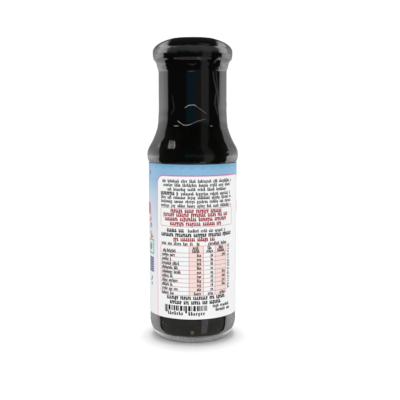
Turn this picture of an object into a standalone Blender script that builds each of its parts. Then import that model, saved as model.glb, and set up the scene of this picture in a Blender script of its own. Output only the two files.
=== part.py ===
"""A glass bottle of sauce, 156 mm tall, shut with a twist-off cap.

The pieces, from the inside out:
  sauce        the dark filling, up to its level in the neck
  bottle       clear glass with a rounded heel, a shoulder bulge, a neck bead and an open mouth
  cap          pressed tinplate twist-off closure with a rolled curl at its lower edge
  neck_sleeve  black film shrunk over the cap and the neck, folded over the cap's top edge
  label        paper wrapped right round the straight panel of the body

Every piece is turned about the bottle's axis. The frame is +Z up, with the origin on the axis, at
the height of the foot. Outlines are (radius, height) pairs in millimetres, spun once.
"""
import math

import bmesh
import bpy

MM = 0.001
SIDES = 40
WELD = 0.01 * MM
SHARP_TURN = 35.0

# Foot, heel and straight side of the body
BODY_R = 22.86
FOOT_LAND_R = 13.9
FOOT_CORNER_R = 6.5
HEEL_R = 10.0
HEEL_TURN = 45.0
PUSH_UP = 2.4
PANEL_R = 22.7
PANEL_BOTTOM_Z = 14.1
PANEL_TOP_Z = 92.9
PANEL_STEP_Z = 0.2

# Inside of the body
WALL = 2.4
FLOOR_Z = 5.4
FLOOR_RISE = 1.4
DOME_MID_REACH = 0.55
DOME_MID_RISE = 0.7
INNER_HEEL_R = 7.0
INNER_BULGE_R = 21.1

# Shoulder: a bulge that guards the label, then a long flare into the neck
BULGE_R = 23.87
BULGE_Z = 96.5
BULGE_UNDER_R = 7.0
BULGE_OVER_R = 9.4
BULGE_TURN = 28.7
NECK_FOOT_Z = 121.1
FLARE_LOW_HANDLE = 9.7
FLARE_HIGH_HANDLE = 3.5

# Neck, bead and mouth
NECK_R = 17.1
BORE_R = 14.7
BEAD_FOOT_Z = 139.2
BEAD_Z = 142.9
BEAD_TOP_Z = 143.7
BEAD_R = 18.2
FINISH_FOOT_Z = 144.2
FINISH_TOP_Z = 150.6
FINISH_R = 17.6
MOUTH_Z = 153.2
RIM_R = 1.1

# Sauce
SAUCE_GAP = 0.3
SAUCE_LEVEL_Z = 141.0

# Cap
CAP_R = 20.0
CAP_WALL = 0.5
CURL_R = 1.2
CURL_Z = 147.25
SKIRT_TOP_Z = 150.1
CROWN_R = 10.0
CROWN_Z = 156.2
CROWN_SLOPE = 0.22
CROWN_UP_HANDLE = 2.4
CROWN_OUT_HANDLE = 4.9
BUTTON_R = 6.5
BUTTON_STEP_R = 7.7
BUTTON_DROP = 0.5
BUTTON_RISE = 0.35

# Shrink sleeve
FILM_GAP = 0.2
FILM_WALL = 0.2
SLEEVE_BOTTOM_Z = 111.7
SLEEVE_WAIST_R = 18.65
SLEEVE_WAIST_Z = 143.4
SLEEVE_HIP_Z = 147.8
LIP_R = 11.0

# Label
LABEL_R = 23.1
LABEL_WALL = 0.2
LABEL_BOTTOM_Z = 14.3
LABEL_TOP_Z = 92.7


def arc(centre_r, centre_z, radius, start, end, steps):
    """Points on a circle, from one angle to the other in degrees, both ends included."""
    points = []
    for step in range(steps + 1):
        angle = math.radians(start + (end - start) * step / steps)
        points.append((centre_r + radius * math.cos(angle), centre_z + radius * math.sin(angle)))
    return points


def bezier(start, start_handle, end_handle, end, steps):
    """Points on a cubic Bezier curve, both ends included."""
    corners = (start, start_handle, end_handle, end)
    points = []
    for step in range(steps + 1):
        t = step / steps
        weights = ((1 - t) ** 3, 3 * t * (1 - t) ** 2, 3 * t * t * (1 - t), t ** 3)
        points.append(tuple(sum(w * c[axis] for w, c in zip(weights, corners)) for axis in (0, 1)))
    return points


def ease(start, end, steps):
    """Points from one radius to another that leave and arrive straight up."""
    points = []
    for step in range(steps + 1):
        t = step / steps
        share = t * t * (3 - 2 * t)
        points.append((start[0] + (end[0] - start[0]) * share, start[1] + (end[1] - start[1]) * t))
    return points


def offset(points, distance):
    """The same outline moved by a distance to its right, as seen when walking along it."""
    moved = []
    for index, (radius, height) in enumerate(points):
        before = points[max(index - 1, 0)]
        after = points[min(index + 1, len(points) - 1)]
        run = (after[0] - before[0], after[1] - before[1])
        length = math.hypot(run[0], run[1])
        moved.append((radius + distance * run[1] / length, height - distance * run[0] / length))
    return moved


def dish(rim_r, rim_z, rise):
    """Two points of a shallow dome, from the axis to partway out, above a rim."""
    return [(0.0, rim_z + rise), (rim_r * DOME_MID_REACH, rim_z + rise * DOME_MID_RISE)]


def heel_outline():
    """The outside of the body from the foot's flat land up to the straight side."""
    turn = math.radians(HEEL_TURN)
    heel_z = FOOT_CORNER_R * (1 - math.sin(turn)) + HEEL_R * math.sin(turn)
    corner_r = BODY_R - HEEL_R * (1 - math.cos(turn)) - FOOT_CORNER_R * math.cos(turn)
    corner = arc(corner_r, FOOT_CORNER_R, FOOT_CORNER_R, -90, -HEEL_TURN, 4)
    heel = arc(BODY_R - HEEL_R, heel_z, HEEL_R, -HEEL_TURN, 0, 5)
    return corner + heel[1:]


def bulge_outline():
    """The rounded bulge at the shoulder, from the top of the label panel up to the flare."""
    drop = BULGE_Z - PANEL_TOP_Z - PANEL_STEP_Z
    under_turn = math.degrees(math.asin(drop / BULGE_UNDER_R))
    under = arc(BULGE_R - BULGE_UNDER_R, BULGE_Z, BULGE_UNDER_R, -under_turn, 0, 4)
    over = arc(BULGE_R - BULGE_OVER_R, BULGE_Z, BULGE_OVER_R, 0, BULGE_TURN, 5)
    return under + over[1:]


def flare_outline(steps):
    """The shoulder from the top of the bulge up into the straight neck."""
    turn = math.radians(BULGE_TURN)
    low_r = BULGE_R - BULGE_OVER_R * (1 - math.cos(turn))
    low_z = BULGE_Z + BULGE_OVER_R * math.sin(turn)
    low_handle = (low_r - FLARE_LOW_HANDLE * math.sin(turn), low_z + FLARE_LOW_HANDLE * math.cos(turn))
    high_handle = (NECK_R, NECK_FOOT_Z - FLARE_HIGH_HANDLE)
    return bezier((low_r, low_z), low_handle, high_handle, (NECK_R, NECK_FOOT_Z), steps)


def cavity_outline():
    """The inside of the glass, from the middle of its floor up to the foot of the neck's bore."""
    inner_r = PANEL_R - WALL
    heel = arc(inner_r - INNER_HEEL_R, FLOOR_Z + INNER_HEEL_R, INNER_HEEL_R, -90, 0, 5)
    shoulder = offset(flare_outline(8), -WALL)[1:-1]
    bulge = [(inner_r, PANEL_TOP_Z - WALL), (INNER_BULGE_R, BULGE_Z)]
    bore_foot = [(BORE_R, NECK_FOOT_Z + WALL)]
    return dish(heel[0][0], FLOOR_Z, FLOOR_RISE) + heel + bulge + shoulder + bore_foot


def bottle_outline():
    """The whole glass: up the outside, over the rim, down the bore and back along the floor."""
    foot = dish(FOOT_LAND_R, 0.0, PUSH_UP) + [(FOOT_LAND_R, 0.0)]
    panel = [(BODY_R, PANEL_BOTTOM_Z - PANEL_STEP_Z), (PANEL_R, PANEL_BOTTOM_Z), (PANEL_R, PANEL_TOP_Z)]
    bead = ease((NECK_R, BEAD_FOOT_Z), (BEAD_R, BEAD_Z), 5) + [(BEAD_R, BEAD_TOP_Z)]
    finish = [(FINISH_R, FINISH_FOOT_Z), (FINISH_R, FINISH_TOP_Z)]
    rim = arc(BORE_R + RIM_R, MOUTH_Z - RIM_R, RIM_R, 0, 180, 6)
    body = foot + heel_outline() + panel + bulge_outline() + flare_outline(10)[1:]
    return body + bead + finish + rim + list(reversed(cavity_outline()))


def sauce_outline():
    """The filling: the cavity less a small gap, cut level in the neck."""
    wetted = offset(cavity_outline(), -SAUCE_GAP)
    top_r = BORE_R - SAUCE_GAP
    wetted[0] = (0.0, wetted[0][1])
    wetted[-1] = (top_r, wetted[-1][1])
    return wetted + [(top_r, SAUCE_LEVEL_Z), (0.0, SAUCE_LEVEL_Z)]


def crown_outline(steps):
    """The cap's shoulder, from the top of its skirt inwards to the edge of its top panel."""
    up_handle = (CAP_R, SKIRT_TOP_Z + CROWN_UP_HANDLE)
    out_handle = (CROWN_R + CROWN_OUT_HANDLE, CROWN_Z - CROWN_OUT_HANDLE * CROWN_SLOPE)
    return bezier((CAP_R, SKIRT_TOP_Z), up_handle, out_handle, (CROWN_R, CROWN_Z), steps)


def cap_outline():
    """The cap: ceiling, inside of the skirt, curl, outside of the skirt, crown and button."""
    skin = crown_outline(8)
    inside = offset(skin, -CAP_WALL)
    curl = arc(CAP_R - CURL_R, CURL_Z, CURL_R, 180, 360, 6)
    ceiling_z = CROWN_Z - BUTTON_DROP - CAP_WALL
    ceiling = [(0.0, ceiling_z), (BUTTON_STEP_R, ceiling_z)]
    button_edge_z = CROWN_Z - BUTTON_DROP
    button = [(BUTTON_STEP_R, button_edge_z), (BUTTON_R, button_edge_z + BUTTON_RISE), (0.0, CROWN_Z)]
    return ceiling + list(reversed(inside)) + curl + skin + button


def from_height(points, height):
    """The part of a rising outline above a height, starting exactly there."""
    for index in range(len(points) - 1):
        low, high = points[index], points[index + 1]
        if low[1] <= height < high[1]:
            share = (height - low[1]) / (high[1] - low[1])
            return [(low[0] + share * (high[0] - low[0]), height)] + points[index + 1:]
    raise ValueError("the outline doesn't reach this height")


def sleeve_outline():
    """The film: its outer face from the lower edge up to the lip, then its inner face back."""
    proud = FILM_GAP + FILM_WALL
    neck_r = NECK_R + proud
    skirt_r = CAP_R + proud
    over_glass = from_height(offset(flare_outline(10), proud), SLEEVE_BOTTOM_Z)
    waist = ease((neck_r, BEAD_FOOT_Z), (SLEEVE_WAIST_R, SLEEVE_WAIST_Z), 5)
    hip = ease((SLEEVE_WAIST_R, SLEEVE_WAIST_Z), (skirt_r, SLEEVE_HIP_Z), 6)
    over_crown = [point for point in offset(crown_outline(10), proud) if point[0] > LIP_R]
    outer = over_glass + waist + hip[1:] + over_crown
    inner = offset(outer, -FILM_WALL)
    inner[0] = (outer[0][0] - FILM_WALL, SLEEVE_BOTTOM_Z)
    return outer + list(reversed(inner))


def label_outline():
    """The label: a thin band of paper over the panel."""
    inner_r = LABEL_R - LABEL_WALL
    return [(LABEL_R, LABEL_BOTTOM_Z), (LABEL_R, LABEL_TOP_Z),
            (inner_r, LABEL_TOP_Z), (inner_r, LABEL_BOTTOM_Z)]


def material(name, colour, roughness, metallic=0.0, transmission=0.0):
    """A Principled material with one colour (linear RGB)."""
    made = bpy.data.materials.new(name)
    made.use_nodes = True
    shader = made.node_tree.nodes["Principled BSDF"]
    shader.inputs["Base Color"].default_value = (*colour, 1.0)
    shader.inputs["Roughness"].default_value = roughness
    shader.inputs["Metallic"].default_value = metallic
    shader.inputs["Transmission Weight"].default_value = transmission
    return made


def turned(name, outline, finish, ring=False):
    """Spin an outline once round the axis into one closed solid.

    A ring's outline closes on itself. Any other starts and ends on the axis.
    """
    form = bmesh.new()
    verts = [form.verts.new((radius * MM, 0.0, height * MM)) for radius, height in outline]
    edges = [form.edges.new(pair) for pair in zip(verts, verts[1:])]
    if ring:
        edges.append(form.edges.new((verts[-1], verts[0])))
    bmesh.ops.spin(form, geom=verts + edges, cent=(0, 0, 0), axis=(0, 0, 1),
                   angle=math.tau, steps=SIDES, use_merge=True)
    bmesh.ops.remove_doubles(form, verts=form.verts, dist=WELD)
    bmesh.ops.recalc_face_normals(form, faces=form.faces)
    mesh = bpy.data.meshes.new(name)
    form.to_mesh(mesh)
    form.free()
    mesh.shade_smooth()
    mesh.set_sharp_from_angle(angle=math.radians(SHARP_TURN))
    mesh.materials.append(finish)
    piece = bpy.data.objects.new(name, mesh)
    bpy.context.collection.objects.link(piece)
    return piece


def build():
    """Clear the scene and make the five pieces."""
    for old in list(bpy.data.objects):
        bpy.data.objects.remove(old, do_unlink=True)
    glass = material("clear_glass", (0.80, 0.86, 0.82), 0.05, transmission=1.0)
    dark_sauce = material("dark_sauce", (0.012, 0.011, 0.009), 0.2)
    black_lacquer = material("black_lacquered_tinplate", (0.012, 0.012, 0.012), 0.3, metallic=0.4)
    black_film = material("black_shrink_film", (0.006, 0.006, 0.006), 0.12)
    printed_paper = material("printed_paper", (0.85, 0.88, 0.92), 0.45)
    turned("sauce", sauce_outline(), dark_sauce)
    turned("bottle", bottle_outline(), glass)
    turned("cap", cap_outline(), black_lacquer)
    turned("neck_sleeve", sleeve_outline(), black_film, ring=True)
    turned("label", label_outline(), printed_paper, ring=True)


build()
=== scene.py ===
# %% [markdown]
# # A bottle of sauce, dressed for its portrait
#
# The imported model gives five solids: the glass bottle, the sauce in it, the cap, the black shrink
# sleeve over cap and neck, and the paper label. This lesson gives each one its real surface. We start by
# loading the frame, and a helper reads the box of any of its solids.

# %% Load the frame
import math
import random

import bmesh
import bpy
from mathutils import Matrix, Vector


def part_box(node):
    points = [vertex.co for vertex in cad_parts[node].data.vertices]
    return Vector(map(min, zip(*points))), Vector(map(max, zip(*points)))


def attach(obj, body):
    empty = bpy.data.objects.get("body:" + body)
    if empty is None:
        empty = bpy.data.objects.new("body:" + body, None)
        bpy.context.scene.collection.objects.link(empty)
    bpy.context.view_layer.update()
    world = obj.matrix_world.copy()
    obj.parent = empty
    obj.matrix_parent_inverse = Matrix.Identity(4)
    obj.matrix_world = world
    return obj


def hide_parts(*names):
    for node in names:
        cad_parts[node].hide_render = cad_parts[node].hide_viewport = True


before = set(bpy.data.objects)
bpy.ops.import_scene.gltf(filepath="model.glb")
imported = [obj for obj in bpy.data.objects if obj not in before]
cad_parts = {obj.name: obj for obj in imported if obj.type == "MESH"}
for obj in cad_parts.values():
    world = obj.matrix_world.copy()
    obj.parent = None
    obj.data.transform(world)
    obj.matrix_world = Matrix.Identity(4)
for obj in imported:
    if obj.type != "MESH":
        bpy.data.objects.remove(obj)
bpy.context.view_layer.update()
MM = 0.001
print("nodes:", sorted(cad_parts))

# %% [markdown]
# Colours are easiest to read off a photograph as sRGB hex values, but a shader wants linear light.
# One function turns one into the other. A second one adds a node, sets it up and links it, so that
# each material below reads as a short list of steps.

# %% Colour and node helpers
def linear(hex_colour):
    """An sRGB hex colour as linear red, green, blue and an alpha of 1."""
    parts = [int(hex_colour[i:i + 2], 16) / 255 for i in (1, 3, 5)]
    return [c / 12.92 if c <= 0.04045 else ((c + 0.055) / 1.055) ** 2.4 for c in parts] + [1.0]


def add_node(tree, kind, settings=None, stops=()):
    """Add a node with its settings and links.

    A name in settings is a property of the node if it has one, and an input socket otherwise. An
    output that is given for a socket is linked to it, and a node stands for its first output.
    stops are those of a colour ramp, as (position, linear colour).
    """
    node = tree.nodes.new("ShaderNode" + kind)
    for name, value in (settings or {}).items():
        if isinstance(value, bpy.types.Node):
            value = value.outputs[0]
        if isinstance(value, bpy.types.NodeSocket):
            tree.links.new(value, node.inputs[name])
        elif isinstance(name, str) and hasattr(node, name):
            setattr(node, name, value)
        else:
            node.inputs[name].default_value = value
    for index, (position, colour) in enumerate(stops):
        elements = node.color_ramp.elements
        element = elements[index] if index < len(elements) else elements.new(position)
        element.position = position
        element.color = colour
    return node


def new_material(name):
    """A node material with nothing in it yet, and its tree."""
    made = bpy.data.materials.new(name)
    made.use_nodes = True
    made.node_tree.nodes.clear()
    return made, made.node_tree


def finish_material(made, shader):
    """Send a shader to the material's output."""
    add_node(made.node_tree, "OutputMaterial", {"Surface": shader})
    return made


WHITE = linear("#FFFFFF")
print("white is", WHITE)

# %% [markdown]
# ## The camera
#
# The photograph was taken with a longish lens from a little above the middle of the bottle,
# looking down by about six degrees, so the label's edges curve down in front and the top of the
# cap stays out of sight. Distance, height and tilt were worked out from those curves.

# %% Camera
PHOTO_SIDE = 400
FOCAL_PIXELS = 740.0
SENSOR_MM = 36.0
CAMERA_BACK = 390.1 * MM
CAMERA_UP = 116.1 * MM
CAMERA_ASIDE = 3.85 * MM
CAMERA_TILT = 6.37

camera_data = bpy.data.cameras.new("camera")
camera_data.sensor_width = SENSOR_MM
camera_data.lens = FOCAL_PIXELS / PHOTO_SIDE * SENSOR_MM
camera = bpy.data.objects.new("camera", camera_data)
camera.location = (CAMERA_ASIDE, -CAMERA_BACK, CAMERA_UP)
camera.rotation_euler = (math.radians(90 - CAMERA_TILT), 0, 0)
bpy.context.collection.objects.link(camera)
bpy.context.scene.camera = camera
print("lens of", round(camera_data.lens, 1), "mm")

# %% [markdown]
# ## The studio
#
# The bottle stands on white, with a short soft shadow round its foot. "Standard" shows colours as
# they are, without a film curve. The floor only shows itself: mirrors and bounced light look
# through it into the room, which keeps the glossy black parts black.

# %% Floor
FLOOR_R = 0.42
FLOOR_SIDES = 96
FLOOR_WHITE = "#F7F7F7"

scene = bpy.context.scene
scene.view_settings.view_transform = "Standard"
scene.view_settings.look = "None"

white_table, tree = new_material("white_table")
table_shader = add_node(tree, "BsdfPrincipled", {
    "Base Color": linear(FLOOR_WHITE), "Roughness": 0.9, "Specular IOR Level": 0.0})
finish_material(white_table, table_shader)


def stage_sheet(name, material, form):
    """A flat sheet that belongs to the studio, not to the bottle."""
    mesh = bpy.data.meshes.new(name)
    form.to_mesh(mesh)
    form.free()
    mesh.materials.append(material)
    sheet = bpy.data.objects.new(name, mesh)
    bpy.context.collection.objects.link(sheet)
    return sheet


floor_form = bmesh.new()
bmesh.ops.create_circle(floor_form, cap_ends=True, segments=FLOOR_SIDES, radius=FLOOR_R)
floor = stage_sheet("floor", white_table, floor_form)
floor.visible_glossy = False
floor.visible_diffuse = False
print("floor is", 2 * FLOOR_R, "m across")

# %% [markdown]
# The sheet of paper under the bottle is small, so the foot mirrors it and the neck doesn't. It is a
# second sheet, the front half of a dim glowing disc, which only mirrors can see.

# %% The paper that the foot mirrors
CARD_R = 0.105
CARD_SIDES = 64
CARD_BACK = 0.015
CARD_Z = 0.02 * MM
CARD_GLOW = 0.5


def glowing(name, strength, colour="#FFFFFF"):
    """A material that only glows, the same all over."""
    made, tree = new_material(name)
    return finish_material(made, add_node(tree, "Emission", {
        "Color": linear(colour), "Strength": strength}))


def cut_behind(form, y):
    """Cut away all of a form that lies behind a plane across the view."""
    bmesh.ops.bisect_plane(form, geom=form.verts[:] + form.edges[:] + form.faces[:],
                           plane_co=(0, y, 0), plane_no=(0, 1, 0), clear_outer=True)


def only_mirrored(sheet):
    """Hide a sheet from every ray but those off a mirror."""
    sheet.visible_camera = False
    sheet.visible_diffuse = False
    sheet.visible_transmission = False
    sheet.visible_shadow = False


card_form = bmesh.new()
bmesh.ops.create_circle(card_form, cap_ends=True, segments=CARD_SIDES, radius=CARD_R,
                        matrix=Matrix.Translation((0, 0, CARD_Z)))
cut_behind(card_form, -CARD_BACK)
only_mirrored(stage_sheet("mirrored_card", glowing("mirrored_card", CARD_GLOW, "#FFFDF8"), card_form))
print("card is", 2 * CARD_R, "m across")

# %% [markdown]
# Two more small sheets lie on it, and again only mirrors see them: a bright ring close round the
# foot, which lights the turned-in edge of the glass from below, and a wedge to the right of the
# camera, which draws the upright lighter strip on the front of the foot.

# %% Ring and wedge on the card
RING_IN_R = 17.0 * MM
RING_OUT_R = 22.6 * MM
RING_BACK_Y = 6.0 * MM
RING_Z = 0.04 * MM
RING_SIDES = 64
RING_GLOW = 2.2
WEDGE_TURNS = (24.0, 42.0)
WEDGE_NEAR = 4.0 * MM
WEDGE_FAR = 95.0 * MM
WEDGE_Z = 0.06 * MM
WEDGE_GLOW = 1.3
FOOT_MIRROR_R = 22.9 * MM


def mirrored_spot(turn, reach):
    """Where a ray that leaves the foot of the glass at a turn, in degrees, lies after a reach."""
    out = math.radians(turn)
    foot = out / 2
    return (FOOT_MIRROR_R * math.sin(foot) + reach * math.sin(out),
            -FOOT_MIRROR_R * math.cos(foot) - reach * math.cos(out), WEDGE_Z)


ring_form = bmesh.new()
ends = [ring_form.verts.new((radius, 0, RING_Z)) for radius in (RING_IN_R, RING_OUT_R)]
bmesh.ops.spin(ring_form, geom=ends + [ring_form.edges.new(ends)], cent=(0, 0, 0), axis=(0, 0, 1),
               angle=math.tau, steps=RING_SIDES, use_merge=True)
cut_behind(ring_form, RING_BACK_Y)
only_mirrored(stage_sheet("mirrored_ring", glowing("ring_glow", RING_GLOW), ring_form))

wedge_form = bmesh.new()
corners = [mirrored_spot(turn, WEDGE_NEAR) for turn in WEDGE_TURNS]
corners += [mirrored_spot(turn, WEDGE_FAR) for turn in reversed(WEDGE_TURNS)]
wedge_form.faces.new([wedge_form.verts.new(corner) for corner in corners])
only_mirrored(stage_sheet("mirrored_wedge", glowing("wedge_glow", WEDGE_GLOW), wedge_form))
print("ring and wedge laid")

# %% [markdown]
# The cap stands between two bright reflector sheets, so close that each part of it sees them at its
# own angle. They reach no lower than the curl, and their front edges stand about level with the
# front of the cap: that draws the upright edges of the light on both sides. They are brightest in
# front and fade a little to the back. Only mirrors see them.

# %% Reflectors beside the cap
REFLECTOR_X = 60 * MM
REFLECTOR_BACK_Y = 12 * MM
REFLECTOR_LOW_Z = 147 * MM
REFLECTOR_HIGH_Z = 200 * MM
REFLECTORS = [("left_reflector", -REFLECTOR_X, -27 * MM), ("right_reflector", REFLECTOR_X, -21 * MM)]
REFLECTOR_GLOW = 4.8
REFLECTOR_BACK_GLOW = 3.4
REFLECTOR_FADE_Y = -5 * MM

white_board, tree = new_material("reflector_board")
where = add_node(tree, "TexCoord")
axes = add_node(tree, "SeparateXYZ", {0: where.outputs["Object"]})
fading = add_node(tree, "MapRange", {
    "From Min": REFLECTOR_FADE_Y, "From Max": REFLECTOR_BACK_Y, "To Min": REFLECTOR_GLOW,
    "To Max": REFLECTOR_BACK_GLOW, "Value": axes.outputs["Y"]})
finish_material(white_board, add_node(tree, "Emission", {"Color": WHITE, "Strength": fading}))
for name, x, front_y in REFLECTORS:
    board_form = bmesh.new()
    corners = [(x, front_y, REFLECTOR_LOW_Z), (x, REFLECTOR_BACK_Y, REFLECTOR_LOW_Z),
               (x, REFLECTOR_BACK_Y, REFLECTOR_HIGH_Z), (x, front_y, REFLECTOR_HIGH_Z)]
    board_form.faces.new([board_form.verts.new(corner) for corner in corners])
    only_mirrored(stage_sheet(name, white_board, board_form))
print("reflectors:", len(REFLECTORS))

# %% [markdown]
# ## The room in the mirror
#
# Black film and dark sauce under glass show little of their own colour. What the eye sees on them is the
# room: tall bright panels at both sides and behind, a dark room in front, and one narrow strip of light
# to the right. The world gives mirror rays that room, by compass angle from the camera's side and by
# height above the horizon, and every other ray plain white. Each list below holds stops of (degrees,
# level), and each patch adds some light within its angles. The photograph doesn't show this room: its
# stops were fitted until the light and dark zones on the bottle came out where the one view has them, so
# from other sides it is only a likely studio.

# %% Sizes of the room
WORLD_LIGHT = 0.79
BACKDROP = 1.05
ROOM_DARK = 0.03
ROOM_TURN = [(-90, 0), (-10, 0), (-3, 1.7), (0, 6), (10, 6), (13, 1.7), (15, 1.7), (18, 6), (90, 6)]
PANEL_BY_ANGLE = [(0, 1.0), (106, 1.0), (114, 0.95), (125, 0.83), (138, 0.53), (150, 0.33), (165, 0.24),
                  (173, 0.14), (180, 0.05)]
PANEL_BY_HEIGHT = [(-90, 1.0), (-60, 1.6), (-30, 2.2), (-16, 2.6), (-12, 2.9), (-8.6, 3.3),
                   (-4, 3.4), (0, 2.2), (3, 1.9), (6, 1.6), (12, 1.5), (16, 1.3), (24, 1.3),
                   (28, 1.4), (31, 4.5), (37, 5.2), (43, 4.4), (50, 3.3), (90, 3.3)]
PANEL_FRONT_EDGE = [(-90, 112), (-38, 109), (-27, 104), (-20, 98), (-15, 99.5), (-8.8, 94), (-2.4, 92.5),
                    (0, 97), (3, 98), (10, 99.5), (12, 98), (14, 96), (17.5, 103), (20, 106), (28, 108),
                    (29.5, 120), (40, 120), (41.5, 96), (45, 103), (48.4, 111), (49.5, 125), (90, 125)]
PANEL_TOP_EDGE = [(0, 49), (112, 50), (124, 49), (136, 49), (142, 47), (151, 44), (156, 40.5),
                  (161, 37.5), (165, 33), (168, 29.5), (171, 24), (174, 19), (177, 13), (180, 8)]
EDGE_SOFT = 3.5
EVEN = (1.0, 1.0, 1.0)
BLUISH = (0.04, 0.62, 1.0)
PATCHES = [
    {"angle": (29, 56), "height": (-90, 11), "soft": 3, "light": 0.33, "tint": EVEN},
    {"angle": (29, 56), "height": (11, 70), "soft": 3, "light": 0.14, "tint": EVEN},
    {"angle": (74, 112), "height": (62, 80), "soft": 2, "light": 0.45, "tint": EVEN},
    {"angle": (9, 29), "height": (-9, 12), "soft": 4, "light": 0.11, "tint": EVEN},
    {"angle": (-20, 9), "height": (-3, 14), "soft": 4, "light": 0.22, "tint": BLUISH},
    {"angle": (-181, 181), "height": (-91, -56), "soft": 2, "light": 1.6, "tint": EVEN},
    {"angle": (-82, -77.5), "height": (38.5, 46), "soft": 0.4, "light": 4.0, "tint": EVEN},
    {"angle": (-73.2, -70.4), "height": (40, 49), "soft": 0.4, "light": 5.5, "tint": EVEN},
    {"angle": (-66, -62.8), "height": (43.5, 51.5), "soft": 0.4, "light": 10.0, "tint": EVEN},
]
print("patches of light:", len(PATCHES))

# %% [markdown]
# The angle and the height of a ray come from the world's own direction, so the room stays where it
# is when the camera moves. The edges of panels and patches are soft steps, and steps multiply.

# %% Steps and levels of the room
world = bpy.data.worlds.new("studio")
scene.world = world
world.use_nodes = True
tree = world.node_tree
tree.nodes.clear()


def level(tree, value, stops):
    """A level that follows stops of (degrees, level) over a value in degrees."""
    low, high = stops[0][0], stops[-1][0]
    peak = max(size for _, size in stops)
    share = add_node(tree, "MapRange", {"From Min": low, "From Max": high, "Value": value})
    greys = [((place - low) / (high - low), [size / peak] * 3 + [1.0]) for place, size in stops]
    curve = add_node(tree, "ValToRGB", {"Fac": share}, stops=greys)
    return add_node(tree, "Math", {"operation": "MULTIPLY", 0: curve, 1: peak})


def step_up(tree, value, limit, soft, downwards=False):
    """0 below a limit and 1 above it with a soft edge between them, or the other way round."""
    return add_node(tree, "MapRange", {
        "interpolation_type": "SMOOTHSTEP", "From Min": limit - soft, "From Max": limit + soft,
        "To Min": float(downwards), "To Max": float(not downwards), "Value": value})


def between(tree, value, low, high, soft):
    """1 where a value lies between two limits, falling softly to 0 beyond them."""
    rise = step_up(tree, value, low, soft)
    fall = step_up(tree, value, high, soft, downwards=True)
    return add_node(tree, "Math", {"operation": "MULTIPLY", 0: rise, 1: fall})


def above(tree, value, limit, soft):
    """1 where a value is above a limit that changes, falling softly to 0 below it."""
    over = add_node(tree, "Math", {"operation": "SUBTRACT", 0: value, 1: limit})
    return step_up(tree, over, 0.0, soft)


print("helpers of the room ready")

# %% Room for mirror rays
gaze = add_node(tree, "TexCoord")
axes = add_node(tree, "SeparateXYZ", {0: gaze.outputs["Generated"]})
forward = add_node(tree, "Math", {"operation": "MULTIPLY", 0: axes.outputs["Y"], 1: -1.0})
angle = add_node(tree, "Math", {"operation": "ARCTAN2", 0: axes.outputs["X"], 1: forward})
angle = add_node(tree, "Math", {"operation": "DEGREES", 0: angle})
height = add_node(tree, "Math", {"operation": "ARCSINE", 0: axes.outputs["Z"]})
height = add_node(tree, "Math", {"operation": "DEGREES", 0: height})

turned = add_node(tree, "Math", {"operation": "SUBTRACT", 0: angle, 1: level(tree, height, ROOM_TURN)})
away = add_node(tree, "Math", {"operation": "ABSOLUTE", 0: turned})
aside = add_node(tree, "Math", {"operation": "ABSOLUTE", 0: angle})
room = level(tree, aside, PANEL_BY_ANGLE)
for share in (level(tree, height, PANEL_BY_HEIGHT),
              above(tree, away, level(tree, height, PANEL_FRONT_EDGE), EDGE_SOFT),
              above(tree, level(tree, aside, PANEL_TOP_EDGE), height, EDGE_SOFT)):
    room = add_node(tree, "Math", {"operation": "MULTIPLY", 0: room, 1: share})
room = add_node(tree, "Math", {"operation": "ADD", 0: room, 1: ROOM_DARK})
for patch in PATCHES:
    shape = add_node(tree, "Math", {
        "operation": "MULTIPLY", 0: between(tree, angle, *patch["angle"], patch["soft"]),
        1: between(tree, height, *patch["height"], patch["soft"])})
    glow = [patch["light"] * share for share in patch["tint"]]
    room = add_node(tree, "VectorMath", {"operation": "MULTIPLY_ADD", 0: shape, 1: glow, 2: room})

rays = add_node(tree, "LightPath")
mirrored = add_node(tree, "Background", {"Strength": 1.0, "Color": room})
plain = add_node(tree, "Background", {"Color": WHITE, "Strength": WORLD_LIGHT})
seen = add_node(tree, "Background", {"Color": WHITE, "Strength": BACKDROP})
lit = add_node(tree, "MixShader", {0: rays.outputs["Is Glossy Ray"], 1: plain, 2: mirrored})
shown = add_node(tree, "MixShader", {0: rays.outputs["Is Camera Ray"], 1: lit, 2: seen})
add_node(tree, "OutputWorld", {"Surface": shown})
print("room made of", len(tree.nodes), "nodes")

# %% [markdown]
# Two area lights do the rest, and neither shows in a mirror: a big soft one overhead whitens the
# floor and draws the short shadow, and one in front fills the middle of the label.

# %% Lights
AIM = Vector((0, 0, 85 * MM))
LIGHTS = [
    {"name": "overhead", "azimuth": 180, "elevation": 85, "distance": 1.3, "width": 0.45,
     "height": 0.45, "power": 9.6},
    {"name": "front_fill", "azimuth": 0, "elevation": 32, "distance": 1.6, "width": 1.4,
     "height": 1.0, "power": 7.5},
]


def panel_light(name, azimuth, elevation, distance, width, height, power):
    """A soft rectangular light at a compass angle from the camera's side, aimed at the bottle."""
    data = bpy.data.lights.new(name, "AREA")
    data.shape = "RECTANGLE"
    data.size = width
    data.size_y = height
    data.energy = power
    light = bpy.data.objects.new(name, data)
    turn = math.radians(azimuth)
    lift = math.radians(elevation)
    away = Vector((math.sin(turn) * math.cos(lift), -math.cos(turn) * math.cos(lift), math.sin(lift)))
    light.location = AIM + away * distance
    light.rotation_euler = away.to_track_quat("Z", "Y").to_euler()
    light.visible_camera = False
    light.visible_glossy = False
    light.visible_transmission = False
    bpy.context.collection.objects.link(light)


for settings in LIGHTS:
    panel_light(**settings)
print("lights:", len(LIGHTS))

# %% [markdown]
# ## Outlines
#
# Glass, tin, film and paper here are all turned shapes, so each one starts as an outline of
# (radius, height) points in millimetres. Arcs and Bezier curves give them, with far more steps than
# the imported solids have. The sizes are those of the solids, apart from a few at the heel, the floor
# and the film, which were fitted again once the glass could be seen through.

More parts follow.
